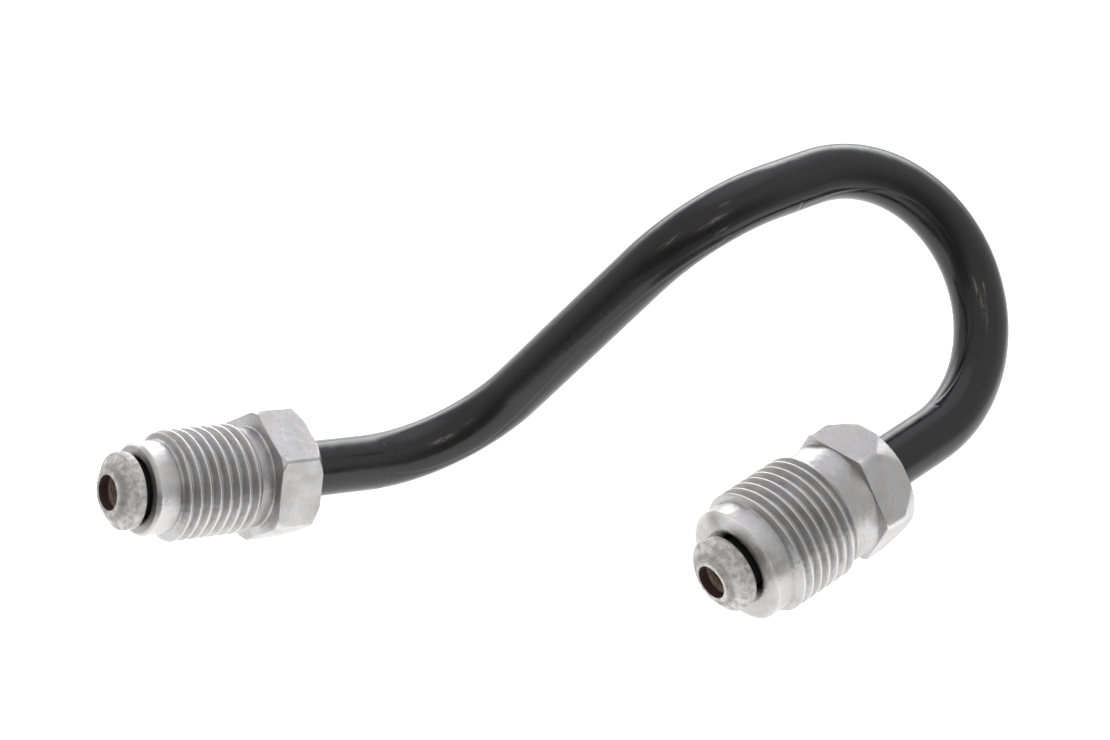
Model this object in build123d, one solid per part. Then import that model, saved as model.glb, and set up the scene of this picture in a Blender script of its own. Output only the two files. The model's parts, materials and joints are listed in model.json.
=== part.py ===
from build123d import *

import os
from math import cos, floor, radians, sin, tan

# A short rigid brake line: a steel tube with a black plastic coating, bent in three planes. Each end
# has a bubble flare formed in the tube's own wall, and a male tube nut that the flare keeps captive.
# Sizes are in millimetres and degrees. Distances along an end run inward from the flare's mouth.

# Tube and coating
TUBE_OD = 4.75
TUBE_WALL = 0.7
COATING_THICKNESS = 0.18
BARE_END = 5.0

# Centreline, from the mouth at the small nut to the mouth at the large nut
FIRST_RUN = 27.0
SECOND_RUN = 17.7
THIRD_RUN = 4.8
LAST_RUN = 27.5
BEND_RADIUS = 13.0
FIRST_BEND_ANGLE = 75.2
SECOND_BEND_ANGLE = 62.1
THIRD_BEND_ANGLE = 170.9
SECOND_TWIST_ANGLE = 187.5
THIRD_TWIST_ANGLE = -67.7

# How the first run points when the line lies on a flat surface
REST_HEADING = 33.94
REST_DIP = 21.42
REST_ROLL = 111.31

# Bubble flare
FLARE_OD = 6.9
FLARE_LENGTH = 2.0
FLARE_HALF_ANGLE = 55.0
FLARE_FACE_OD = 3.9
FLARE_MOUTH_BORE = 3.1
FLARE_SHOULDER_ROUND = 0.3
FLARE_BACK_ROUND = 0.25
FOLD_DEPTH = 0.7
FOLD_WIDTH = 0.7

# Raised lip round the mouth at the large nut
LIP_HEIGHT = 0.25
LIP_GROOVE_WIDTH = 0.4

# Fit of both nuts on the coated tube, with the seat that bears on the flare's back
NUT_RUNNING_CLEARANCE = 0.08
FLARE_SEAT_OD = 7.0
BORE_CHAMFER = 0.35

# Threads of both nuts, as closed rings at their pitch
THREAD_PITCH = 1.0
THREAD_CREST = 0.3
THREAD_FLANK_ANGLE = 30.0

# Small nut, with an M10 x 1 thread. The gap is from the flare's back to the nut's front, and a step is
# the drop in radius from the thread's crests.
SMALL_NUT_GAP = 0.95
SMALL_THREAD_OD = 9.9
SMALL_THREAD_LENGTH = 7.3
SMALL_NOSE_STEP = 0.8
SMALL_NOSE_LENGTH = 2.05
SMALL_NOSE_CHAMFER = 0.3
SMALL_LEAD_LENGTH = 0.3
SMALL_NECK_STEP = 0.45
SMALL_NECK_LENGTH = 1.8
SMALL_NECK_FILLET = 0.25
SMALL_HEX_ACROSS_FLATS = 10.75
SMALL_HEX_ACROSS_CORNERS = 12.33
SMALL_HEX_FRONT_BREAK = 0.4
SMALL_HEX_LENGTH = 4.35
SMALL_HEX_CHAMFER_LENGTH = 0.6
SMALL_HEX_CHAMFER_ANGLE = 45.0
SMALL_HEX_ANGLE = 24.4

# Large nut, with an M12 x 1 thread. Its gap and steps are as on the small nut.
LARGE_NUT_GAP = 0.6
LARGE_THREAD_OD = 11.9
LARGE_THREAD_LENGTH = 6.85
LARGE_NOSE_STEP = 0.65
LARGE_NOSE_LENGTH = 2.15
LARGE_FACE_OD = 7.4
LARGE_FACE_TAPER = 0.25
LARGE_LEAD_LENGTH = 0.2
LARGE_NECK_STEP = 0.55
LARGE_NECK_LENGTH = 3.45
LARGE_HEX_ACROSS_FLATS = 11.0
LARGE_HEX_ACROSS_CORNERS = 12.6
LARGE_HEX_FRONT_BREAK = 0.15
LARGE_HEX_LENGTH = 4.1
LARGE_HEX_CHAMFER_LENGTH = 2.0
LARGE_HEX_CHAMFER_ANGLE = 20.0
LARGE_HEX_ANGLE = 7.1

RUNOUT_ANGLE = 45.0

tube_radius = TUBE_OD / 2
bore_radius = tube_radius - TUBE_WALL
coated_radius = tube_radius + COATING_THICKNESS
nut_bore_radius = coated_radius + NUT_RUNNING_CLEARANCE
lying_start = Rot(0, 0, REST_HEADING) * Rot(0, REST_DIP, 0) * Rot(REST_ROLL, 0, 0)


def past_bend(angle):
    """Move from the start of a bend to its end, where the tube runs on along the local x axis."""
    turn = radians(angle)
    return Pos(BEND_RADIUS * sin(turn), BEND_RADIUS * (1 - cos(turn)), 0) * Rot(0, 0, angle)


def centreline(setback):
    """Wire along the tube's middle, a setback short of both mouths, and the frame at the far mouth."""
    here = lying_start * Pos(setback, 0, 0)
    edges = []
    for run, twist, bend in (
        (FIRST_RUN - setback, 0, FIRST_BEND_ANGLE),
        (SECOND_RUN, SECOND_TWIST_ANGLE, SECOND_BEND_ANGLE),
        (THIRD_RUN, THIRD_TWIST_ANGLE, THIRD_BEND_ANGLE),
    ):
        here = here * Rot(twist, 0, 0)
        edges.append(here * Line((0, 0), (run, 0)))
        here = here * Pos(run, 0, 0)
        edges.append(here * JernArc((0, 0), (1, 0), BEND_RADIUS, bend))
        here = here * past_bend(bend)
    edges.append(here * Line((0, 0), (LAST_RUN - setback, 0)))
    return Wire(edges), here * Pos(LAST_RUN, 0, 0) * Rot(0, 0, 180)


def pipe(outer_radius, inner_radius, setback):
    """Hollow round section swept along the centreline, a setback short of both mouths."""
    wire, _ = centreline(setback)
    ring = Plane.YZ * (Circle(outer_radius) - Circle(inner_radius))
    return sweep(lying_start * Pos(setback, 0, 0) * ring, path=wire)


def turned(points, rounds):
    """Solid turned about the x axis from a closed outline, with a round for each corner."""
    outline = FilletPolyline(*points, radius=rounds, close=True)
    return revolve(make_face(outline), axis=Axis.X)


def bubble_flare(lip_height):
    """End of the tube: the wall folded out to a cone, a rim and a square shoulder, and bored through."""
    face = FLARE_FACE_OD / 2
    cone_foot = face + (LIP_GROOVE_WIDTH if lip_height else 0)
    rim = FLARE_OD / 2
    length = FLARE_LENGTH + lip_height
    shoulder = lip_height + (rim - cone_foot) / tan(radians(FLARE_HALF_ANGLE))
    mouth = FLARE_MOUTH_BORE / 2
    fold_back = length - TUBE_WALL
    lip = [((lip_height, face), 0), ((lip_height, cone_foot), 0)] if lip_height else []
    corners = [
        ((0, mouth), 0),
        ((0, face), 0),
        *lip,
        ((shoulder, rim), FLARE_SHOULDER_ROUND),
        ((length, rim), FLARE_BACK_ROUND),
        ((length, tube_radius), 0),
        ((BARE_END, tube_radius), 0),
        ((BARE_END, bore_radius), 0),
        ((fold_back, bore_radius), 0),
        ((fold_back, bore_radius + FOLD_DEPTH), 0),
        ((fold_back - FOLD_WIDTH, mouth), 0),
    ]
    return turned([point for point, _ in corners], [radius for _, radius in corners])


def hexagon(across_flats, across_corners, start, length, front_break, chamfer_length, chamfer_angle, turn):
    """Hexagon of a nut, with rounded corners, a broken front edge and its back turned down to a cone."""
    corner = across_corners / 2
    end = start + length
    back = corner - chamfer_length * tan(radians(chamfer_angle))
    prism = extrude(
        Plane.YZ.offset(start) * Rot(0, 0, turn) * RegularPolygon(across_flats / 2, 6, major_radius=False),
        length,
    )
    envelope = turned(
        [
            (start, 0),
            (start, corner - front_break),
            (start + front_break, corner),
            (end - chamfer_length, corner),
            (end, back),
            (end, 0),
        ],
        0,
    )
    return prism & envelope


def nut_bore(start, end):
    """Through hole that runs on the coated tube, with a conical flare seat in front and a chamfer behind."""
    seat = FLARE_SEAT_OD / 2
    return turned(
        [
            (start, 0),
            (start, seat),
            (start + seat - nut_bore_radius, nut_bore_radius),
            (end - BORE_CHAMFER, nut_bore_radius),
            (end, nut_bore_radius + BORE_CHAMFER),
            (end, 0),
        ],
        0,
    )


def thread_rings(start, length, crest_radius):
    """Corners of a thread's outline from its first crest to its last, with V grooves between the crests."""
    half_groove = (THREAD_PITCH - THREAD_CREST) / 2
    root_radius = crest_radius - half_groove / tan(radians(THREAD_FLANK_ANGLE))
    corners = [(start, crest_radius)]
    for groove in range(floor(round((length - THREAD_CREST) / THREAD_PITCH, 6))):
        next_crest = start + (groove + 1) * THREAD_PITCH
        corners += [
            (next_crest - 2 * half_groove, crest_radius),
            (next_crest - half_groove, root_radius),
            (next_crest, crest_radius),
        ]
    return [*corners, (start + length, crest_radius)]


def small_nut(front):
    """M10 nut: plain nose, tapered lead, thread, relief groove and hexagon."""
    thread = SMALL_THREAD_OD / 2
    nose = thread - SMALL_NOSE_STEP
    neck = thread - SMALL_NECK_STEP
    thread_start = front + SMALL_NOSE_LENGTH + SMALL_LEAD_LENGTH
    thread_end = thread_start + SMALL_THREAD_LENGTH
    hex_start = thread_end + SMALL_NECK_LENGTH
    hex_end = hex_start + SMALL_HEX_LENGTH
    runout = SMALL_NECK_STEP / tan(radians(RUNOUT_ANGLE))
    collar = neck + 2 * SMALL_NECK_FILLET
    corners = [
        (front, 0),
        (front, nose - SMALL_NOSE_CHAMFER),
        (front + SMALL_NOSE_CHAMFER, nose),
        (front + SMALL_NOSE_LENGTH, nose),
        *thread_rings(thread_start, SMALL_THREAD_LENGTH, thread),
        (thread_end + runout, neck),
        (hex_start, neck),
        (hex_start, collar),
        (hex_start + SMALL_NECK_FILLET, collar),
        (hex_start + SMALL_NECK_FILLET, 0),
    ]
    body = turned(corners, [SMALL_NECK_FILLET if corner == (hex_start, neck) else 0 for corner in corners])
    head = hexagon(
        SMALL_HEX_ACROSS_FLATS,
        SMALL_HEX_ACROSS_CORNERS,
        hex_start,
        SMALL_HEX_LENGTH,
        SMALL_HEX_FRONT_BREAK,
        SMALL_HEX_CHAMFER_LENGTH,
        SMALL_HEX_CHAMFER_ANGLE,
        SMALL_HEX_ANGLE,
    )
    return body + head - nut_bore(front, hex_end)


def large_nut(front):
    """M12 nut: plain nose with a slightly tapered face, thread, plain neck and hexagon."""
    thread = LARGE_THREAD_OD / 2
    nose = thread - LARGE_NOSE_STEP
    neck = thread - LARGE_NECK_STEP
    thread_start = front + LARGE_NOSE_LENGTH + LARGE_LEAD_LENGTH
    thread_end = thread_start + LARGE_THREAD_LENGTH
    hex_start = thread_end + LARGE_NECK_LENGTH
    hex_end = hex_start + LARGE_HEX_LENGTH
    runout = LARGE_NECK_STEP / tan(radians(RUNOUT_ANGLE))
    body = turned(
        [
            (front, 0),
            (front, LARGE_FACE_OD / 2),
            (front + LARGE_FACE_TAPER, nose),
            (front + LARGE_NOSE_LENGTH, nose),
            *thread_rings(thread_start, LARGE_THREAD_LENGTH, thread),
            (thread_end + runout, neck),
            (hex_end, neck),
            (hex_end, 0),
        ],
        0,
    )
    head = hexagon(
        LARGE_HEX_ACROSS_FLATS,
        LARGE_HEX_ACROSS_CORNERS,
        hex_start,
        LARGE_HEX_LENGTH,
        LARGE_HEX_FRONT_BREAK,
        LARGE_HEX_CHAMFER_LENGTH,
        LARGE_HEX_CHAMFER_ANGLE,
        LARGE_HEX_ANGLE,
    )
    return body + head - nut_bore(front, hex_end)


_, far_mouth = centreline(0)
small_front = FLARE_LENGTH + SMALL_NUT_GAP
large_front = FLARE_LENGTH + LIP_HEIGHT + LARGE_NUT_GAP

tube = pipe(tube_radius, bore_radius, BARE_END)
tube += lying_start * bubble_flare(0)
tube += far_mouth * bubble_flare(LIP_HEIGHT)

pieces = {
    "steel_tube": tube,
    "tube_coating": pipe(coated_radius, tube_radius, BARE_END),
    "small_tube_nut": lying_start * small_nut(small_front),
    "large_tube_nut": far_mouth * large_nut(large_front),
}

# The line lies on z = 0, with the middle of its footprint over the origin.
box = Compound(children=[Part(piece.wrapped) for piece in pieces.values()]).bounding_box()
to_floor = Pos(-box.center().X, -box.center().Y, -box.min.Z)

os.makedirs("parts", exist_ok=True)
for name, piece in pieces.items():
    export_step(to_floor * piece, f"parts/{name}.step")
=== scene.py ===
import json
from math import cos, radians, sin, tan

import bpy
import numpy as np
from mathutils import Matrix


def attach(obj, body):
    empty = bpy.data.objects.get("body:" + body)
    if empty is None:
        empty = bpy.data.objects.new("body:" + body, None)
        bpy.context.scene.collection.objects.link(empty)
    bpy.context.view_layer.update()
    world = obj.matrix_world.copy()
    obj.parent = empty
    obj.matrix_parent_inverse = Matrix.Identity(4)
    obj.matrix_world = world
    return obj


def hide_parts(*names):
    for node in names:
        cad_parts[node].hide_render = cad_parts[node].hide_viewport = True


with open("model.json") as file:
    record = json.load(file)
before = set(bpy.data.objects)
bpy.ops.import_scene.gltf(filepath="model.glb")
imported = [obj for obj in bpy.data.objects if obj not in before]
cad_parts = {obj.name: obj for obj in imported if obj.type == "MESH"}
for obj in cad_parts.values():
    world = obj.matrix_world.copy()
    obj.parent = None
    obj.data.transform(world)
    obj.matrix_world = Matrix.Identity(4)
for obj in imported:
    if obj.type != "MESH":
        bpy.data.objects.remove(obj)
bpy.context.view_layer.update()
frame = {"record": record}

# A short rigid brake line lying on a pale floor: coated tube, two bubble flares, two tube nuts.
# Shapes are worked out in millimetres and written to the meshes in metres. Angles are in degrees.
MM = 0.001

# Tube and coating. The coating starts a bare end behind each mouth.
TUBE_RADIUS = 2.375
BORE_RADIUS = 1.675
COATED_RADIUS = 2.555
BARE_END = 5.0

# Centreline, from the mouth at the small nut to the mouth at the large nut
RUNS = (27.0, 17.7, 4.8, 27.5)
TWISTS = (0.0, 187.5, -67.7)
BENDS = (75.2, 62.1, 170.9)
BEND_RADIUS = 13.0
REST_HEADING = 33.94
REST_DIP = 21.42
REST_ROLL = 111.31

# From the small mouth to the middle of the small thread's mount
SMALL_THREAD_MIDDLE = 8.95

# Bubble flares. Only the large nut's flare has a raised lip, with a groove round it.
FLARE_RADIUS = 3.45
FLARE_LENGTH = 2.0
FLARE_HALF_ANGLE = 55.0
FACE_RADIUS = 1.95
MOUTH_RADIUS = 1.55
LIP_HEIGHT = 0.25
LIP_GROOVE = 0.4
MOUTH_ROUND = 0.08
FACE_ROUND = 0.12
LIP_ROUND = 0.05
GROOVE_ROUND = 0.1
SHOULDER_ROUND = 0.28
HEEL_ROUND = 0.25
NECK_ROUND = 0.1

# Both nuts
NUT_BORE_RADIUS = 2.635
BORE_ROUND = 0.1
SEAT_ROUND = 0.05
BACK_CHAMFER = 0.35
BACK_ROUND = 0.06
PITCH = 1.0
THREAD_DEPTH = 0.58
FLANK_ANGLE = 30.0
CREST_WIDTH = 0.11
CREST_ROUND = 0.06
ROOT_ROUND = 0.12
RUN_OUT_ROUND = 0.03
CORNER_ROUND = 0.05
BREAK_ROUND = 0.04

# Gaps between the flares and the nuts' noses
SMALL_NUT_GAP = 0.95
LARGE_NUT_GAP = 0.6

# M10 nut: chamfered nose, thread running into a relief groove, and a fillet at the hexagon.
# Distances count back from the solid's nose, and the visible nose starts a little in front of it.
# Corners of the nose and neck are (distance, radius, rounding).
SMALL_NUT = {
    "front": FLARE_LENGTH + SMALL_NUT_GAP,
    "seat_radius": 3.1,
    "nose": (
        (-0.27, 3.85, 0.06),
        (0.03, 4.15, 0.08),
        (2.03, 4.15, 0.03),
        (2.1, 4.06, 0.03),
        (2.3, 4.22, 0.04),
        (2.4, 4.95, 0.12),
    ),
    "thread_radius": 4.95,
    "thread_from": 1.9,
    "thread_to": 10.15,
    "thread_phase": 0.361,
    "neck": ((9.65, 4.95, 0.1), (10.1, 4.5, 0.2), (11.45, 4.5, 0.25)),
    "across_flats": 10.75,
    "across_corners": 12.33,
    "hex_start": 11.45,
    "hex_length": 4.35,
    "hex_turn": 24.4,
    "front_break": 0.3,
    "front_break_length": 0.5,
    "chamfer": 0.6,
    "chamfer_angle": 45.0,
    "edge_round": 0.1,
}

# M12 nut: plain nose with a slightly tapered face, thread and plain neck
LARGE_NUT = {
    "front": FLARE_LENGTH + LIP_HEIGHT + LARGE_NUT_GAP,
    "seat_radius": 3.5,
    "nose": (
        (0, 3.7, 0.05),
        (0.08, 4.21, 0),
        (0.17, 4.79, 0),
        (0.25, 5.3, 0.06),
        (2.15, 5.3, 0.1),
        (2.35, 5.95, 0.12),
    ),
    "thread_radius": 5.95,
    "thread_from": 2.0,
    "thread_to": 9.7,
    "thread_phase": 0.693,
    "neck": ((9.2, 5.95, 0.1), (9.75, 5.4, 0.3), (10.7, 5.4, 0), (11.7, 5.4, 0), (12.65, 5.4, 0.02)),
    "across_flats": 11.0,
    "across_corners": 12.6,
    "hex_start": 12.65,
    "hex_length": 4.1,
    "hex_turn": 7.1,
    "front_break": 0.15,
    "front_break_length": 0.15,
    "chamfer": 2.0,
    "chamfer_angle": 20.0,
    "edge_round": 0.04,
}

# Painted highlight on the nuts, with some wear at the hexagon's corners: how far it reaches below a crest or
# corner, along a corner and round the nose's edge
CREST_HIGHLIGHT = 0.09
CORNER_WEAR_AND_HIGHLIGHT = 0.3
CORNER_WEAR_AND_HIGHLIGHT_LENGTH = 0.8
EDGE_GLINT = 0.09
NOSE_EDGE_WITHIN = 1.0

# Dark stains on the nuts: place on the part at rest, size, strength
STAINS = (
    (12.9, -14.2, 9.6, 1.1, 0.6),
    (16.9, -18.7, 9.3, 1.0, 0.55),
    (17.8, -19.6, 8.5, 0.9, 0.5),
    (22.2, -10.9, 11.7, 0.8, 0.35),
)

# Edges pressed into the coating by the bending tools, as (distance along, angle round)
UPPER_EDGE = (
    (28.5, 60), (31.9, 75), (34.8, 81), (38, 82), (41.2, 72), (44.5, 67), (48.4, 63),
    (53.3, 57), (57.3, 61), (60.4, 66), (63.3, 73), (69.6, 86),
)
LOWER_EDGE = ((28.1, 100), (32, 101), (41, 101), (45, 97))
LOOP_EDGE = (
    (77.5, 90), (78.8, 90), (84.1, 83), (88.3, 72), (92, 67), (96.1, 71), (99.2, 73.5), (108, 82),
    (116.9, 93), (118.3, 98),
)
EDGE_DEPTH = 0.03
EDGE_WIDTH = 3.0
LEDGE_START = 8.0
LEDGE_END = 11.0
LEDGE_SHARE = 0.5
BAND_WIDTH = 60.0
EDGE_FADE = 0.5

# Nicks in the coating: distance along, angle round, half length, half width in degrees, depth
NICKS = (
    (28.3, 70, 0.12, 30, 0.012),
    (53.4, 59, 0.22, 5, 0.05),
    (69.8, 86, 0.35, 3, 0.03),
    (77.6, 92, 0.14, 13, 0.05),
    (117.7, 87, 0.25, 8, 0.04),
)

# Scuffs on the coating: distance along, angle round, half length, half width in degrees, strength
SCUFFS = (
    (35.0, 26, 1.1, 3.2, 0.9),
    (38.5, 20, 0.5, 1.6, 0.6),
    (28.2, -3, 0.15, 2.0, 0.8),
    (65.7, 17, 0.8, 2.6, 0.6),
    (69.3, 32, 1.0, 3.6, 0.9),
    (70.7, 14, 0.35, 1.6, 1.0),
    (69.6, 58, 0.5, 1.5, 0.8),
    (102.9, 66, 1.1, 2.4, 0.6),
    (104.8, 59, 1.2, 3.5, 0.6),
    (103.2, 50, 0.5, 1.6, 0.9),
    (106.0, 52, 1.4, 2.0, 0.4),
)

# Mesh steps along and round the pieces
TUBE_COLUMNS = 144
COATING_COLUMNS = 95
MARKED_ANGLES = (40.0, 115.0)
NUT_COLUMNS = 324
CORNER_COLUMNS = 22
CORNER_SPAN = 3.5
THREAD_STEP = 0.045
MOUTH_ROWS = (0.25, 0.45, 0.65, 0.85, 1.05, 1.3)
NICK_ROWS = (-0.3, -0.2, -0.1, -0.03, 0.03, 0.1, 0.2, 0.3)
STATION_GAP = 0.2

# Rows of a hexagon: across its front face as shares of the way out, round its front edge as shares of the
# rounding along and inwards, then how many behind the front edge, in the middle and at the back
FACE_SHARES = (0.25, 0.5, 0.75)
EDGE_SHARES = ((0.0, 1.0), (0.0, 0.6), (0.1, 0.25), (0.25, 0.1), (0.6, 0.0))
BREAK_ROWS = 6
MIDDLE_ROWS = 10
CHAMFER_ROWS = 22

# A rounded corner: its steps, the least reach that is rounded, the most of a side that a round may take,
# and how far past it the next point lies, if that is before the middle of the side
ROUND_STEPS = 5
LEAST_REACH = 1e-4
MOST_OF_SIDE = 0.45
POINT_PAST = 1.6

# How near to the mouth's radius the rim's copper colour goes, how near to the tube's the neck's painted black
# shade goes, the slack behind a flare, and the slack at a span's end
RIM_BAND = 0.03
NECK_SHADE_BAND = 0.15
FLARE_SLACK = 0.01
SPAN_SLACK = 1e-6

# Flatness of the rows on a hexagon's front face, between 0 on turned faces and 1 on its flats
FACE_FLATNESS = 0.5


# Placing

def turned_about(axis, angle):
    """4 by 4 rotation about a local axis."""
    return np.array(Matrix.Rotation(radians(angle), 4, axis))


def moved(x, y=0.0, z=0.0):
    """4 by 4 shift."""
    return np.array(Matrix.Translation((x, y, z)))


def bent(angle):
    """From the start of a bend to a point on it, with the local x axis along the tube."""
    turn = radians(angle)
    return moved(BEND_RADIUS * sin(turn), BEND_RADIUS * (1 - cos(turn))) @ turned_about("Z", angle)


def record_mount(name):
    """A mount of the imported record: its middle in millimetres and the way into the part."""
    mount = next(m for m in frame["record"]["mounts"] if m["name"] == name)
    return np.array(mount["pos_m"]) / MM, -np.array(mount["axis"])


thread_middle, inward = record_mount("small_thread")
small_mouth = moved(*(thread_middle - SMALL_THREAD_MIDDLE * inward))
small_mouth = small_mouth @ turned_about("Z", REST_HEADING) @ turned_about("Y", REST_DIP)
small_mouth = small_mouth @ turned_about("X", REST_ROLL)


def centreline():
    """Spans of the tube, its length and the frame at the large mouth.

    A span is its start, length, bend angle, frame at the start and the twist so far.
    """
    spans = []
    here = small_mouth
    start = 0.0
    roll = 0.0
    for run, twist, bend in zip(RUNS, (*TWISTS, 0.0), (*BENDS, 0.0)):
        here = here @ turned_about("X", twist)
        roll += twist
        spans.append((start, run, 0.0, here, roll))
        here = here @ moved(run)
        start += run
        if bend:
            arc = radians(bend) * BEND_RADIUS
            spans.append((start, arc, bend, here, roll))
            here = here @ bent(bend)
            start += arc
    return spans, start, here @ turned_about("Z", 180)


spans, total_length, large_mouth = centreline()


def station(distance):
    """Frame on the centreline at a distance from the small mouth, without the twists."""
    start, length, bend, here, roll = next(s for s in spans if distance <= s[0] + s[1] + SPAN_SLACK)
    past = distance - start
    here = here @ (bent(bend * past / length) if bend else moved(past))
    return here @ turned_about("X", -roll)


# Meshes

def rounded(corners):
    """Points (s, r) of a closed line whose corners (s, r, rounding) are rounded, with a point past each."""
    points = []
    for before, corner, after in zip([corners[-1], *corners[:-1]], corners, [*corners[1:], corners[0]]):
        here = np.array(corner[:2])
        back = np.array(before[:2]) - here
        on = np.array(after[:2]) - here
        back_length = np.linalg.norm(back)
        on_length = np.linalg.norm(on)
        back = back / back_length
        on = on / on_length
        half_turn = (np.pi - np.arccos(np.clip(back @ on, -1, 1))) / 2
        reach = corner[2] * np.tan(half_turn)
        if reach < LEAST_REACH:
            points.append(here)
            continue
        back_reach = min(reach, MOST_OF_SIDE * back_length)
        on_reach = min(reach, MOST_OF_SIDE * on_length)
        if back_reach * POINT_PAST < back_length / 2:
            points.append(here + back * back_reach * POINT_PAST)
        first = here + back * back_reach
        last = here + on * on_reach
        for step in range(ROUND_STEPS + 1):
            t = step / ROUND_STEPS
            points.append((1 - t) ** 2 * first + 2 * t * (1 - t) * here + t * t * last)
        if on_reach * POINT_PAST < on_length / 2:
            points.append(here + on * on_reach * POINT_PAST)
    return points


def soft_min(a, b, width):
    """The smaller of two values, with the crossing rounded over a width."""
    h = np.clip(0.5 + 0.5 * (b - a) / width, 0, 1)
    return b * (1 - h) + a * h - width * h * (1 - h)


def smooth(t):
    """Smooth step of values clipped to 0 and 1."""
    t = np.clip(t, 0, 1)
    return t * t * (3 - 2 * t)


def ring_mesh(name, points, attributes):
    """Closed skin through rings of points, joined last to first both ways, with values on its points."""
    rows, columns = points.shape[:2]
    index = np.arange(rows * columns).reshape(rows, columns)
    below = np.roll(index, -1, 0)
    right = np.roll(index, -1, 1)
    both = np.roll(below, -1, 1)
    quads = np.stack([index, right, both, below], -1).reshape(-1, 4)
    mesh = bpy.data.meshes.new(name)
    mesh.from_pydata((points.reshape(-1, 3) * MM).tolist(), [], quads.tolist())
    for key, values in attributes.items():
        values = np.broadcast_to(values, (rows, columns)).reshape(-1)
        mesh.attributes.new(key, "FLOAT", "POINT").data.foreach_set("value", values.astype(np.float32))
    mesh.polygons.foreach_set("use_smooth", [True] * len(mesh.polygons))
    mesh.validate()
    mesh.update()
    piece = bpy.data.objects.new(name, mesh)
    bpy.context.scene.collection.objects.link(piece)
    return piece


def ring_points(place, s, r, angles):
    """Points of one ring: s along the local x axis and r out from it, both single values or one per angle."""
    turn = np.radians(angles)
    s = np.broadcast_to(s, turn.shape)
    local = np.stack([s, r * np.cos(turn), r * np.sin(turn), np.ones_like(turn)])
    return (place @ local)[:3].T


def turn_values(angles):
    """Values for patterns that run round a piece without a seam."""
    turn = np.radians(angles)[None, :]
    return {"turn_cos": np.cos(turn), "turn_sin": np.sin(turn)}


def tube_stations(start, end, bend_step, run_step):
    """Distances along the tube, a step in degrees apart in the bends and in millimetres on the runs."""
    found = []
    for span_start, length, bend, _, _ in spans:
        parts = max(1, round(bend / bend_step if bend else length / run_step))
        found += [span_start + length * k / parts for k in range(parts)]
    inside = [s for s in found if start + STATION_GAP < s < end - STATION_GAP]
    return [start, *inside, end]


# Steel tube with its two flares

def flare_outline(lip):
    """Outside of a flare from the mouth's rim to the bare tube behind it, as corners (s, r, rounding)."""
    cone_foot = FACE_RADIUS + (LIP_GROOVE if lip else 0)
    shoulder = lip + (FLARE_RADIUS - cone_foot) / tan(radians(FLARE_HALF_ANGLE))
    length = FLARE_LENGTH + lip
    raised = [(lip, FACE_RADIUS, LIP_ROUND), (lip, cone_foot, GROOVE_ROUND)] if lip else []
    return [
        (0, MOUTH_RADIUS, MOUTH_ROUND),
        (0, FACE_RADIUS, FACE_ROUND),
        *raised,
        (shoulder, FLARE_RADIUS, SHOULDER_ROUND),
        (length, FLARE_RADIUS, HEEL_ROUND),
        (length, TUBE_RADIUS, NECK_ROUND),
    ]


def flare_end(lip):
    """Rounded outside of one end of the tube, without the two corners that close it at the bare end."""
    return rounded([(BARE_END, MOUTH_RADIUS, 0), *flare_outline(lip), (BARE_END, TUBE_RADIUS, 0)])[1:-1]


def steel_tube():
    """The whole steel tube: flare, wall, flare and bore."""
    middle = tube_stations(BARE_END, total_length - BARE_END, bend_step=2.0, run_step=2.0)
    outside = [(s, r) for s, r in flare_end(0)]
    outside += [(s, TUBE_RADIUS) for s in middle]
    outside += [(total_length - s, r) for s, r in reversed(flare_end(LIP_HEIGHT))]
    bore = [(total_length - s, MOUTH_RADIUS) for s in MOUTH_ROWS]
    bore += [(total_length - FLARE_LENGTH, BORE_RADIUS)]
    bore += [(s, BORE_RADIUS) for s in reversed(middle)]
    bore += [(FLARE_LENGTH, BORE_RADIUS)]
    bore += [(s, MOUTH_RADIUS) for s in reversed(MOUTH_ROWS)]
    angles = np.arange(TUBE_COLUMNS) * 360.0 / TUBE_COLUMNS
    rings = [ring_points(station(s), 0, r, angles) for s, r in outside + bore]
    along = np.array([s for s, _ in outside + bore])
    radius = np.array([r for _, r in outside + bore])
    depth = np.minimum(along, total_length - along)
    in_bore = np.arange(len(rings)) >= len(outside)
    inner = in_bore | (radius < MOUTH_RADIUS + RIM_BAND)
    # Painted black shade on the bare neck behind each flare, in the gap to the nut
    neck = ~in_bore & (radius < TUBE_RADIUS + NECK_SHADE_BAND) & (depth > FLARE_LENGTH - FLARE_SLACK)
    values = {
        "inner": inner.astype(float)[:, None],
        "neck": neck.astype(float)[:, None],
        "depth": depth[:, None],
        "along": along[:, None],
        "radius": radius[:, None],
        **turn_values(angles),
    }
    return ring_mesh("flared_steel_tube", np.array(rings), values)


# Coating

def angle_gap(angles, middle):
    """Signed difference between angles and a middle, from -180 to 180."""
    return (angles - middle + 180) % 360 - 180


def pressed_band(distances, angles, edge):
    """How deep a bending tool pressed: a sharp edge, a narrow ledge, then a fade round the tube."""
    where = np.interp(distances, [s for s, _ in edge], [a for _, a in edge])
    gap = angle_gap(angles[None, :], where[:, None])
    ledge = 1 - LEDGE_SHARE * smooth((gap - LEDGE_START) / (LEDGE_END - LEDGE_START))
    fade = np.clip(1 - gap / BAND_WIDTH, 0, 1)
    ends = smooth((distances - edge[0][0]) / EDGE_FADE) * smooth((edge[-1][0] - distances) / EDGE_FADE)
    return EDGE_DEPTH * smooth(gap / EDGE_WIDTH) * ledge * fade * ends[:, None]


def spots(distances, angles, table):
    """Sum of soft oval spots, each with its own height."""
    total = np.zeros((len(distances), len(angles)))
    for s, angle, half_length, half_width, height in table:
        along = (distances[:, None] - s) / half_length
        across = angle_gap(angles[None, :], angle) / half_width
        total += height * np.exp(-(along**2 + across**2))
    return total


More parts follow.
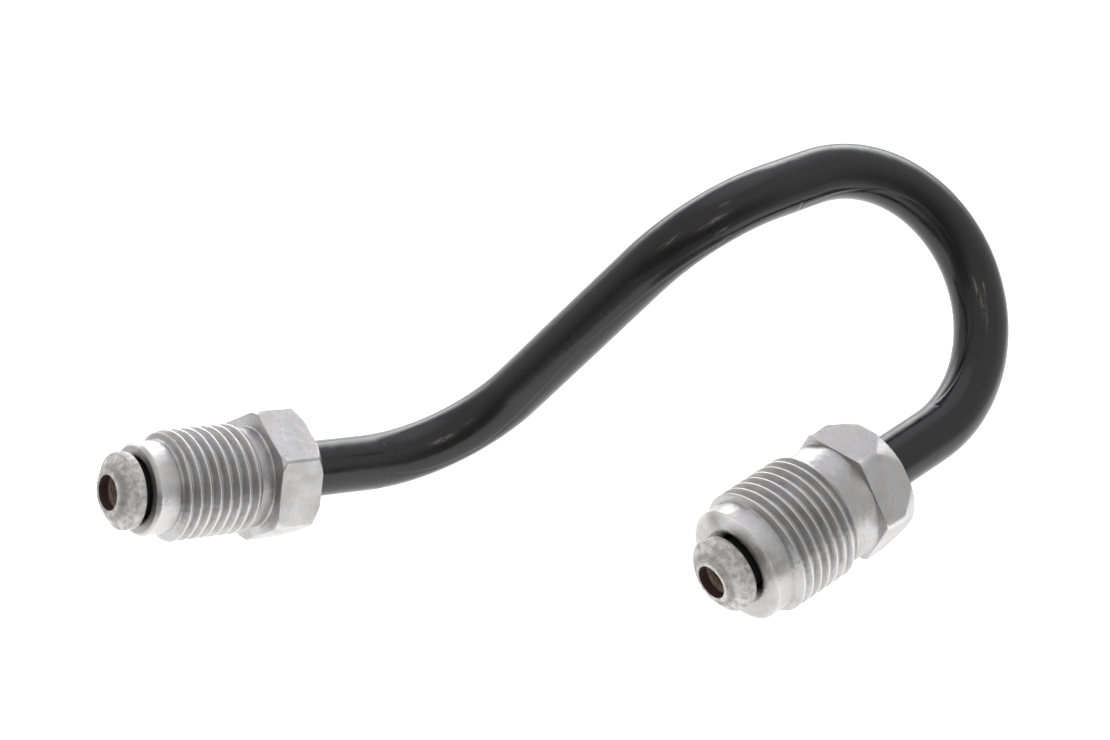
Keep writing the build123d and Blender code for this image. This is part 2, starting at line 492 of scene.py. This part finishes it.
def coating():
    """Black coating, from one bare end to the other, with the marks of the bending tools."""
    first = BARE_END
    last = total_length - BARE_END
    outer = tube_stations(first, last, bend_step=1.2, run_step=0.4)
    outer = sorted(outer + [nick[0] + shift for nick in NICKS for shift in NICK_ROWS])
    inner = tube_stations(first, last, bend_step=4.0, run_step=6.0)
    low, high = MARKED_ANGLES
    unmarked = np.linspace(high, low + 360, COATING_COLUMNS, endpoint=False)
    angles = np.concatenate([np.arange(low, high), unmarked])
    distances = np.array(outer)
    radius = COATED_RADIUS - spots(distances, angles, NICKS)
    for edge in (UPPER_EDGE, LOWER_EDGE, LOOP_EDGE):
        radius = radius - pressed_band(distances, angles, edge)
    rings = [ring_points(station(s), 0, r, angles) for s, r in zip(outer, radius)]
    rings += [ring_points(station(s), 0, TUBE_RADIUS, angles) for s in reversed(inner)]
    worn = np.minimum(spots(distances, angles, SCUFFS), 1)
    values = {
        "radius": np.full((1, 1), COATED_RADIUS),
        "along": np.array(outer + inner[::-1])[:, None],
        "worn": np.concatenate([worn, np.zeros((len(inner), len(angles)))]),
        **turn_values(angles),
    }
    return ring_mesh("black_coating_skin", np.array(rings), values)


# Nuts

def nut_angles(hex_turn):
    """Angles round a nut, close together at the corners of its hexagon."""
    corner = np.linspace(-CORNER_SPAN, CORNER_SPAN, CORNER_COLUMNS, endpoint=False)
    rest = np.linspace(CORNER_SPAN, 60 - CORNER_SPAN, NUT_COLUMNS // 6 - CORNER_COLUMNS, endpoint=False)
    sector = np.concatenate([corner, rest])
    return np.concatenate([sector + 60 * k + hex_turn for k in range(6)])


def thread_radius(s, angles, crest_radius, phase):
    """Radius of a right-hand 60 degree thread with narrow crests and rounded roots."""
    turns = (s - phase) / PITCH - angles / 360
    off_crest = np.abs((turns + 0.5) % 1 - 0.5) * PITCH
    drop = (off_crest - CREST_WIDTH / 2) / tan(radians(FLANK_ANGLE))
    crest = -soft_min(-drop, 0.0, CREST_ROUND)
    return crest_radius - soft_min(crest, THREAD_DEPTH, ROOT_ROUND)


def hex_radius(angles, half_flats, corner_radius, hex_turn):
    """Radius of a hexagon whose corners are turned off."""
    off_flat = np.radians((angles - hex_turn) % 60 - 30)
    return soft_min(half_flats / np.cos(off_flat), corner_radius, CORNER_ROUND)


def nut(name, place, sizes):
    """Nut skin: front to back outside, then back through the bore."""
    front = sizes["front"]
    seat_radius = sizes["seat_radius"]
    nose = [(front + s, r, rounding) for s, r, rounding in sizes["nose"]]
    neck = [(front + s, r, rounding) for s, r, rounding in sizes["neck"]]
    tip = nose[0][0]
    crest_radius = sizes["thread_radius"]
    thread_from = front + sizes["thread_from"]
    thread_to = front + sizes["thread_to"]
    start = front + sizes["hex_start"]
    end = start + sizes["hex_length"]
    edge = sizes["edge_round"]
    half_flats = sizes["across_flats"] / 2
    corner_radius = sizes["across_corners"] / 2
    break_end = start + sizes["front_break_length"]
    chamfer_start = end - sizes["chamfer"]
    chamfer_slope = tan(radians(sizes["chamfer_angle"]))
    angles = nut_angles(sizes["hex_turn"])
    outline = hex_radius(angles, half_flats, corner_radius, sizes["hex_turn"])
    rings = []
    flat = []
    bright = []

    def add(s, r, flatness=0.0, highlight_and_wear=0.0):
        """One more ring with its place, radius, flatness and painted highlight and wear."""
        rings.append((np.broadcast_to(s, angles.shape), np.broadcast_to(r, angles.shape)))
        flat.append(flatness)
        bright.append(np.broadcast_to(highlight_and_wear, angles.shape))

    def outline_at(s):
        """Radius round the hexagon at a distance along it, with its ends turned off."""
        broken = corner_radius - sizes["front_break"] * (break_end - s) / sizes["front_break_length"]
        turned = corner_radius - max(0.0, s - chamfer_start) * chamfer_slope
        return soft_min(outline, min(broken, turned), BREAK_ROUND)

    # Seat and nose, up to the first row of the thread
    blank = np.array(
        rounded(
            [
                (tip + seat_radius - NUT_BORE_RADIUS, NUT_BORE_RADIUS, BORE_ROUND),
                (tip, seat_radius, SEAT_ROUND),
                *nose,
                *neck,
                (start, (neck[-1][1] + half_flats - edge) / 2, 0),
            ]
        )
    )
    first_thread = int(np.argmax((blank[:, 0] >= thread_from) & (blank[:, 1] > seat_radius)))
    near_tip = [(s, r) for s, r, _ in nose if s < tip + NOSE_EDGE_WITHIN]
    edge_s, edge_r = max(near_tip, key=lambda corner: corner[1])
    # The nose's front edge gets a painted glint
    for s, r in blank[:first_thread]:
        add(s, r, highlight_and_wear=np.exp(-((s - edge_s) ** 2 + (r - edge_r) ** 2) / EDGE_GLINT**2))

    # Thread, inside the blank's outline, and the neck behind it
    outside = blank[first_thread:]
    for s in np.arange(thread_from, thread_to, THREAD_STEP):
        envelope = np.interp(s, outside[:, 0], outside[:, 1])
        r = soft_min(thread_radius(s, angles, crest_radius, sizes["thread_phase"]), envelope, RUN_OUT_ROUND)
        # Crests get a painted highlight
        add(s, r, highlight_and_wear=smooth((r - crest_radius + CREST_HIGHLIGHT) / CREST_HIGHLIGHT))
    for s, r in outside[outside[:, 0] > thread_to]:
        add(s, r)

    # Hexagon
    foot = outside[-1][1]
    for share in FACE_SHARES:
        add(start, foot + (outline_at(start) - edge - foot) * share, FACE_FLATNESS)
    for share, inwards in EDGE_SHARES:
        add(start + share * edge, outline_at(start + share * edge) - inwards * edge, 1.0)
    break_rows = np.linspace(start + edge, break_end, BREAK_ROWS, endpoint=False)
    middle_rows = np.linspace(break_end, chamfer_start, MIDDLE_ROWS, endpoint=False)
    chamfer_rows = np.linspace(chamfer_start, end, CHAMFER_ROWS)
    # Corners near the front get painted highlight, with some wear
    corner_wear_and_highlight = smooth((outline - corner_radius + CORNER_WEAR_AND_HIGHLIGHT) / CORNER_WEAR_AND_HIGHLIGHT)
    for s in np.concatenate([break_rows, middle_rows, chamfer_rows]):
        add(s, outline_at(s), 1.0, corner_wear_and_highlight * np.exp(-(((s - start) / CORNER_WEAR_AND_HIGHLIGHT_LENGTH) ** 2)))

    # Back face and bore
    back_radius = corner_radius - sizes["chamfer"] * chamfer_slope
    back = rounded(
        [
            (end, min(back_radius, half_flats), BACK_ROUND),
            (end, NUT_BORE_RADIUS + BACK_CHAMFER, BACK_ROUND),
            (end - BACK_CHAMFER, NUT_BORE_RADIUS, BORE_ROUND),
            (tip + seat_radius, NUT_BORE_RADIUS, 0),
        ]
    )
    for s, r in back[1:]:
        add(s, r)

    points = np.array([ring_points(place, s, r, angles) for s, r in rings])
    stain = np.zeros(points.shape[:2])
    for x, y, z, size, strength in STAINS:
        gap = np.linalg.norm(points - np.array((x, y, z)), axis=-1) / size
        stain = np.maximum(stain, strength * np.exp(-(gap**2)))
    values = {
        "flat": np.array(flat)[:, None],
        "bright": np.array(bright),
        "stain": stain,
        "along": np.array([s for s, _ in rings]),
        "radius": np.array([r for _, r in rings]),
        **turn_values(angles),
    }
    return ring_mesh(name, points, values)


# Node helpers

def set_input(tree, target, value):
    """Set an input to a value, or link an output to it."""
    if isinstance(value, bpy.types.NodeSocket):
        tree.links.new(value, target)
    else:
        target.default_value = value


def add_node(tree, kind, settings=None, **inputs):
    """New node with its settings, and its inputs given by name, or by number as i0, i1 and so on."""
    node = tree.nodes.new(kind)
    for key, value in (settings or {}).items():
        setattr(node, key, value)
    for key, value in inputs.items():
        numbered = key[0] == "i" and key[1:].isdigit()
        set_input(tree, node.inputs[int(key[1:]) if numbered else key.replace("_", " ")], value)
    return node


def maths(tree, operation, *values, clamp=False):
    """Result of a Math node."""
    inputs = {f"i{k}": v for k, v in enumerate(values)}
    return add_node(tree, "ShaderNodeMath", {"operation": operation, "use_clamp": clamp}, **inputs).outputs[0]


def times(tree, first, second, clamp=False):
    """First value times the second."""
    return maths(tree, "MULTIPLY", first, second, clamp=clamp)


def plus(tree, first, second):
    """First value plus the second."""
    return maths(tree, "ADD", first, second)


def minus(tree, first, second):
    """First value minus the second."""
    return maths(tree, "SUBTRACT", first, second)


def attribute(tree, name):
    """Value stored on the mesh's points."""
    return add_node(tree, "ShaderNodeAttribute", {"attribute_name": name}).outputs["Fac"]


def vector(tree, x, y, z):
    """Vector from three values."""
    return add_node(tree, "ShaderNodeCombineXYZ", X=x, Y=y, Z=z).outputs[0]


def noise(tree, where, scale, detail, roughness):
    """Value of a noise texture, from 0 to 1."""
    made = add_node(tree, "ShaderNodeTexNoise", Vector=where, Scale=scale, Detail=detail, Roughness=roughness)
    return made.outputs["Fac"]


def ramp(tree, value, low, high, to_low=0.0, to_high=1.0):
    """Value mapped smoothly from one range to another."""
    made = add_node(
        tree,
        "ShaderNodeMapRange",
        {"interpolation_type": "SMOOTHSTEP"},
        Value=value,
        From_Min=low,
        From_Max=high,
        To_Min=to_low,
        To_Max=to_high,
    )
    return made.outputs["Result"]


def mix_colour(tree, share, first, second):
    """Colour between two colours."""
    return add_node(tree, "ShaderNodeMix", {"data_type": "RGBA"}, i0=share, i6=first, i7=second).outputs[2]


def bump(tree, height, distance, strength):
    """Normal bent by a height, over a distance in metres."""
    return add_node(tree, "ShaderNodeBump", Height=height, Distance=distance, Strength=strength).outputs[0]


def start_material(name):
    """Empty principled material: the material, its tree and its shader."""
    material = bpy.data.materials.new(name)
    material.use_nodes = True
    tree = material.node_tree
    return material, tree, tree.nodes["Principled BSDF"]


def object_place(tree):
    """Place on the object at rest, in millimetres."""
    place = add_node(tree, "ShaderNodeTexCoord").outputs["Object"]
    scaled = add_node(tree, "ShaderNodeVectorMath", {"operation": "SCALE"}, Vector=place, Scale=1 / MM)
    return scaled.outputs[0]


def wrapped_place(tree, along_scale, round_scale, radius_scale):
    """Place on a turned surface: along the axis, round it without a seam, and out from it."""
    along = times(tree, attribute(tree, "along"), along_scale)
    across = times(tree, attribute(tree, "turn_cos"), round_scale)
    up = times(tree, attribute(tree, "turn_sin"), round_scale)
    out = times(tree, attribute(tree, "radius"), radius_scale)
    return vector(tree, plus(tree, along, out), across, up)


# Materials. Radii and depths are in millimetres, and bump distances in metres. A pattern's range is the two
# noise values between which it fades in, and MOST is its largest share of the colour.
ZINC_COOL = (0.50, 0.50, 0.51, 1)
ZINC_WARM = (0.50, 0.48, 0.465, 1)
ZINC_BLOTCH = (0.40, 0.395, 0.39, 1)
ZINC_SPECKLE = (0.34, 0.33, 0.33, 1)
ZINC_HIGHLIGHT_AND_WEAR = (0.74, 0.73, 0.72, 1)
ZINC_STAIN = (0.13, 0.125, 0.12, 1)
ZINC_SEAT_SHADE = (0.10, 0.10, 0.10, 1)
ZINC_METALLIC = 0.9
ZINC_ROUGHNESS = (0.30, 0.40)
ZINC_BUMP = 0.00004
ZINC_BUMP_STRENGTH = 1.0
TINT_RANGE = (0.4, 0.68)
BLOTCH_RANGE = (0.35, 0.7)
SPECKLE_RANGE = (0.4, 0.7)
SPECKLE_MOST = 0.6
HIGHLIGHT_AND_WEAR_MOST = 0.65
SEAT_SHADE_RADII = (2.8, 3.4)
LINES_OFF_FLATS = 0.8
LINES_HEIGHT = 0.5
GRAIN_HEIGHT = 0.25
DENTS_HEIGHT = 1.6

STEEL_LIGHT = (0.69, 0.665, 0.65, 1)
STEEL_DARK = (0.39, 0.37, 0.36, 1)
STEEL_GROOVE_SHADE = (0.22, 0.215, 0.21, 1)
STEEL_FLECK = (0.26, 0.25, 0.25, 1)
STEEL_NECK_SHADE = (0.02, 0.02, 0.02, 1)
STEEL_METALLIC = 0.2
STEEL_ROUGHNESS = (0.5, 0.6)
STEEL_BUMP = 0.00004
STEEL_BUMP_STRENGTH = 0.8
MOTTLE_RANGE = (0.34, 0.66)
FLECK_RANGE = (0.62, 0.74)
FLECK_MOST = 0.6
GROOVE_SHADE_INNER_RADII = (1.95, 2.15)
GROOVE_SHADE_OUTER_RADII = (2.75, 2.3)
GROOVE_SHADE_MOST = 0.6
SCRATCH_HEIGHT = 0.7
STEEL_GRAIN_HEIGHT = 0.4

COPPER_LIGHT = (0.98, 0.82, 0.72, 1)
COPPER_DARK = (0.50, 0.34, 0.28, 1)
COPPER_RIM_SHADE = (0.11, 0.065, 0.06, 1)
COPPER_DEEP_SHADE = (0.12, 0.07, 0.06, 1)
COPPER_METALLIC = 0.5
SCRATCH_RANGE = (0.40, 0.62)
RIM_SHADE_DEPTHS = (0.8, 1.1)
DEEP_SHADE_DEPTHS = (1.6, 2.2)

COATING_BLACK = (0.012, 0.012, 0.013, 1)
COATING_SPECK = (0.10, 0.10, 0.10, 1)
COATING_WORN = (0.30, 0.24, 0.23, 1)
COATING_IOR = 1.45
COATING_ROUGHNESS = (0.16, 0.24)
WORN_ROUGHNESS = 0.35
COATING_BUMP = 0.00006
COATING_BUMP_STRENGTH = 0.5
SPECK_RANGE = (0.68, 0.76)
SPECK_MOST = 0.6
STREAK_RANGE = (0.38, 0.6)

# The noise values over which a roughness goes from its lowest to its highest
ROUGHNESS_RANGE = (0.3, 0.7)


def zinc():
    """Satin clear zinc plate on turned steel, with turning lines and a grainy, blotched surface."""
    material, tree, shader = start_material("satin_zinc")
    place = object_place(tree)
    flat = attribute(tree, "flat")
    blotch = noise(tree, place, scale=0.35, detail=4.0, roughness=0.6)
    tint = noise(tree, place, scale=0.55, detail=3.0, roughness=0.5)
    grain = noise(tree, place, scale=9.0, detail=2.0, roughness=0.6)
    dents = noise(tree, place, scale=1.6, detail=3.0, roughness=0.55)
    turned_place = wrapped_place(tree, along_scale=9.0, round_scale=0.35, radius_scale=9.0)
    turning = noise(tree, turned_place, scale=1.0, detail=3.0, roughness=0.65)

    # Colour: tinted and blotched plate, painted highlight on crests, corners and the nose's edge, stains, and
    # painted shade in the seat and bore
    colour = mix_colour(tree, ramp(tree, tint, *TINT_RANGE), ZINC_COOL, ZINC_WARM)
    colour = mix_colour(tree, ramp(tree, blotch, *BLOTCH_RANGE), colour, ZINC_BLOTCH)
    colour = mix_colour(tree, ramp(tree, grain, *SPECKLE_RANGE, 0.0, SPECKLE_MOST), colour, ZINC_SPECKLE)
    colour = mix_colour(tree, times(tree, attribute(tree, "bright"), HIGHLIGHT_AND_WEAR_MOST), colour, ZINC_HIGHLIGHT_AND_WEAR)
    colour = mix_colour(tree, attribute(tree, "stain"), colour, ZINC_STAIN)
    # Painted shade darkens the seat and bore inwards of the seat's radius
    outside = ramp(tree, attribute(tree, "radius"), *SEAT_SHADE_RADII)
    tree.links.new(mix_colour(tree, outside, ZINC_SEAT_SHADE, colour), shader.inputs["Base Color"])
    shader.inputs["Metallic"].default_value = ZINC_METALLIC
    tree.links.new(ramp(tree, blotch, *ROUGHNESS_RANGE, *ZINC_ROUGHNESS), shader.inputs["Roughness"])

    # Height: turning lines, mostly on turned faces, then grain and dents
    lines = times(tree, turning, minus(tree, 1.0, times(tree, flat, LINES_OFF_FLATS)))
    fine = plus(tree, times(tree, lines, LINES_HEIGHT), times(tree, grain, GRAIN_HEIGHT))
    height = plus(tree, fine, times(tree, dents, minus(tree, DENTS_HEIGHT, flat)))
    tree.links.new(bump(tree, height, ZINC_BUMP, ZINC_BUMP_STRENGTH), shader.inputs["Normal"])
    return material


def formed_steel():
    """Dull formed steel of the flares, copper coloured inside the bore with painted shade at its rim and
    depth, and painted black shade on the necks.
    """
    material, tree, shader = start_material("formed_steel")
    place = object_place(tree)
    inner = attribute(tree, "inner")
    out = attribute(tree, "radius")
    depth = attribute(tree, "depth")
    mottle = noise(tree, place, scale=1.6, detail=5.0, roughness=0.65)
    grain = noise(tree, place, scale=11.0, detail=2.0, roughness=0.6)
    turned_place = wrapped_place(tree, along_scale=3.0, round_scale=1.2, radius_scale=3.0)
    scratch = noise(tree, turned_place, scale=2.5, detail=4.0, roughness=0.7)

    # Outside: mottled, with painted shade in a ring round the mouth's face, flecked, and painted black shade
    # on the neck behind the flare
    steel = mix_colour(tree, ramp(tree, mottle, *MOTTLE_RANGE), STEEL_LIGHT, STEEL_DARK)
    within = ramp(tree, out, *GROOVE_SHADE_OUTER_RADII, 0.0, GROOVE_SHADE_MOST)
    ring = times(tree, ramp(tree, out, *GROOVE_SHADE_INNER_RADII), within)
    steel = mix_colour(tree, ring, steel, STEEL_GROOVE_SHADE)
    steel = mix_colour(tree, ramp(tree, scratch, *FLECK_RANGE, 0.0, FLECK_MOST), steel, STEEL_FLECK)
    steel = mix_colour(tree, attribute(tree, "neck"), steel, STEEL_NECK_SHADE)

    # Bore: scratched copper colour between painted shade at the rim and painted shade in the depth
    copper = mix_colour(tree, ramp(tree, scratch, *SCRATCH_RANGE), COPPER_LIGHT, COPPER_DARK)
    copper = mix_colour(tree, ramp(tree, depth, *RIM_SHADE_DEPTHS), COPPER_RIM_SHADE, copper)
    copper = mix_colour(tree, ramp(tree, depth, *DEEP_SHADE_DEPTHS), copper, COPPER_DEEP_SHADE)

    tree.links.new(mix_colour(tree, inner, steel, copper), shader.inputs["Base Color"])
    metallic = ramp(tree, inner, 0.0, 1.0, STEEL_METALLIC, COPPER_METALLIC)
    tree.links.new(metallic, shader.inputs["Metallic"])
    tree.links.new(ramp(tree, mottle, *ROUGHNESS_RANGE, *STEEL_ROUGHNESS), shader.inputs["Roughness"])
    height = plus(tree, times(tree, scratch, SCRATCH_HEIGHT), times(tree, grain, STEEL_GRAIN_HEIGHT))
    tree.links.new(bump(tree, height, STEEL_BUMP, STEEL_BUMP_STRENGTH), shader.inputs["Normal"])
    return material


def black_gloss():
    """Glossy black coating with faint waves, a few specks and streaked scuffs."""
    material, tree, shader = start_material("black_gloss_coating")
    place = object_place(tree)
    wave = noise(tree, place, scale=0.5, detail=2.0, roughness=0.5)
    dust = noise(tree, place, scale=7.0, detail=2.0, roughness=0.5)
    streaked_place = wrapped_place(tree, along_scale=1.2, round_scale=28.0, radius_scale=0.0)
    streak = noise(tree, streaked_place, scale=1.0, detail=3.0, roughness=0.6)
    specks = ramp(tree, dust, *SPECK_RANGE, 0.0, SPECK_MOST)
    colour = mix_colour(tree, specks, COATING_BLACK, COATING_SPECK)
    worn = times(tree, attribute(tree, "worn"), ramp(tree, streak, *STREAK_RANGE), clamp=True)
    tree.links.new(mix_colour(tree, worn, colour, COATING_WORN), shader.inputs["Base Color"])
    rough = ramp(tree, wave, *ROUGHNESS_RANGE, *COATING_ROUGHNESS)
    rough = plus(tree, rough, times(tree, worn, WORN_ROUGHNESS))
    tree.links.new(rough, shader.inputs["Roughness"])
    shader.inputs["IOR"].default_value = COATING_IOR
    tree.links.new(bump(tree, wave, COATING_BUMP, COATING_BUMP_STRENGTH), shader.inputs["Normal"])
    return material


# Pieces

def dress(piece, body, node, material):
    """Material, body and replaced node of a piece."""
    piece.data.materials.append(material)
    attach(piece, body)
    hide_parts(node)


zinc_plate = zinc()
dress(steel_tube(), "line", "steel_tube", formed_steel())
dress(coating(), "line", "tube_coating", black_gloss())
small_piece = nut("small_threaded_nut", small_mouth, SMALL_NUT)
dress(small_piece, "small_nut", "small_tube_nut", zinc_plate)
large_piece = nut("large_threaded_nut", large_mouth, LARGE_NUT)
dress(large_piece, "large_nut", "large_tube_nut", zinc_plate)


# Floor. Its radius is in metres. The glow is in millimetres, and widens towards the back.
FLOOR_RADIUS = 4.0
FLOOR_STEP = 5
FLOOR_SHADE = 0.55
FLOOR_ROUGHNESS = 0.9
GLOW_MIDDLE = -1.75
GLOW_HALF_WIDTH = 55.25
GLOW_SPREAD = 0.1
GLOW_FRONT = -33.0
GLOW_BACK = 90.0
GLOW_FADE = 20.0
GLOW_BACK_FADE = 60.0
GLOW_STRENGTH = 1.15
GLOW_REST = 0.35


def floor_white():
    """Pale floor that glows under, beside and behind the part, most near it, so that shadows stay faint."""
    material, tree, shader = start_material("pale_floor")
    split = add_node(tree, "ShaderNodeSeparateXYZ", Vector=object_place(tree))
    x = split.outputs["X"]
    y = split.outputs["Y"]
    off_middle = maths(tree, "ABSOLUTE", minus(tree, x, GLOW_MIDDLE))
    aside = minus(tree, off_middle, times(tree, y, GLOW_SPREAD))
    inside = ramp(tree, aside, GLOW_HALF_WIDTH + GLOW_FADE, GLOW_HALF_WIDTH)
    behind = ramp(tree, y, GLOW_FRONT - GLOW_FADE, GLOW_FRONT)
    near = ramp(tree, y, GLOW_BACK + GLOW_BACK_FADE, GLOW_BACK)
    pool = plus(tree, GLOW_REST, times(tree, times(tree, inside, near), 1 - GLOW_REST))
    glow = times(tree, behind, pool)
    shader.inputs["Base Color"].default_value = (FLOOR_SHADE, FLOOR_SHADE, FLOOR_SHADE, 1)
    shader.inputs["Roughness"].default_value = FLOOR_ROUGHNESS
    shader.inputs["Emission Color"].default_value = (1, 1, 1, 1)
    tree.links.new(times(tree, glow, GLOW_STRENGTH), shader.inputs["Emission Strength"])
    return material


floor_mesh = bpy.data.meshes.new("pale_floor")
rim = [(FLOOR_RADIUS * cos(radians(a)), FLOOR_RADIUS * sin(radians(a)), 0) for a in range(0, 360, FLOOR_STEP)]
floor_mesh.from_pydata(rim, [], [list(range(len(rim)))])
floor = bpy.data.objects.new("pale_floor", floor_mesh)
bpy.context.scene.collection.objects.link(floor)
floor_mesh.materials.append(floor_white())


# Light. A range is how far a direction points to the back, up or to the lamp, where a light fades in.
FRONT_LIGHT = 0.17
SIDE_LIGHT = 0.85
SIDE_RANGE = (-1.0, 0.15)
ABOVE_LIGHT = 0.8
ABOVE_RANGE = (0.35, 0.75)
LAMP_LIGHT = 0.5
LAMP_DIRECTION = (0, 0.45, 0.89)
LAMP_RANGE = (0.86, 0.97)
BACKDROP_LIGHT = 3.8
BACKDROP_RANGE = (0.5, 0.95)
BACKDROP_TOP = (0.48, 0.28)
RIGHT_LIGHT = 0.08
BLUE_SHARE = 0.08
BLUE_BACK_RANGE = (0.3, 0.7)
BLUE_UP_RANGE = (0.40, 0.55)


def studio_world():
    """Soft surround: dim in front, brighter at the sides and above, with a bright low backdrop behind.

    A large soft lamp hangs above and a little behind. The right is a little brighter than the left, and the
    light from high up at the back is cool.
    """
    world = bpy.data.worlds.new("studio")
    world.use_nodes = True
    tree = world.node_tree
    background = tree.nodes["Background"]
    direction = add_node(tree, "ShaderNodeTexCoord").outputs["Generated"]
    split = add_node(tree, "ShaderNodeSeparateXYZ", Vector=direction)
    right = split.outputs["X"]
    back = split.outputs["Y"]
    up = split.outputs["Z"]
    sides = ramp(tree, back, *SIDE_RANGE, FRONT_LIGHT, SIDE_LIGHT)
    above = ramp(tree, up, *ABOVE_RANGE)
    surround = plus(tree, sides, times(tree, above, minus(tree, ABOVE_LIGHT, sides)))
    lamp = add_node(
        tree, "ShaderNodeVectorMath", {"operation": "DOT_PRODUCT"}, i0=direction, i1=LAMP_DIRECTION
    )
    overhead = ramp(tree, lamp.outputs["Value"], *LAMP_RANGE, 0.0, LAMP_LIGHT)
    backdrop = ramp(tree, back, *BACKDROP_RANGE, 0.0, BACKDROP_LIGHT)
    backdrop = times(tree, backdrop, ramp(tree, up, *BACKDROP_TOP))
    tilt = times(tree, right, RIGHT_LIGHT)
    level = plus(tree, plus(tree, surround, overhead), plus(tree, backdrop, tilt))
    cool = times(tree, ramp(tree, back, *BLUE_BACK_RANGE), ramp(tree, up, *BLUE_UP_RANGE))
    blue = times(tree, level, plus(tree, 1.0, times(tree, cool, BLUE_SHARE)))
    tree.links.new(vector(tree, level, level, blue), background.inputs["Color"])
    background.inputs["Strength"].default_value = 1.0
    bpy.context.scene.world = world


studio_world()


# Camera, in metres, with its lens in millimetres
LENS = 99.66
SENSOR_WIDTH = 36.0
CLIP_START = 0.01
CAMERA_PLACE = (0.005455, -0.209409, 0.191907)
CAMERA_HEADING = 1.708
CAMERA_ELEVATION = 40.16
CAMERA_ROLL = -2.646

camera_data = bpy.data.cameras.new("photo_camera")
camera_data.lens = LENS
camera_data.sensor_width = SENSOR_WIDTH
camera_data.clip_start = CLIP_START
camera = bpy.data.objects.new("photo_camera", camera_data)
heading = Matrix.Rotation(radians(CAMERA_HEADING), 4, "Z")
aim = heading @ Matrix.Rotation(radians(90 - CAMERA_ELEVATION), 4, "X")
camera.matrix_world = Matrix.Translation(CAMERA_PLACE) @ aim @ Matrix.Rotation(radians(CAMERA_ROLL), 4, "Z")
bpy.context.scene.collection.objects.link(camera)
bpy.context.scene.camera = camera
bpy.context.scene.view_settings.view_transform = "Standard"
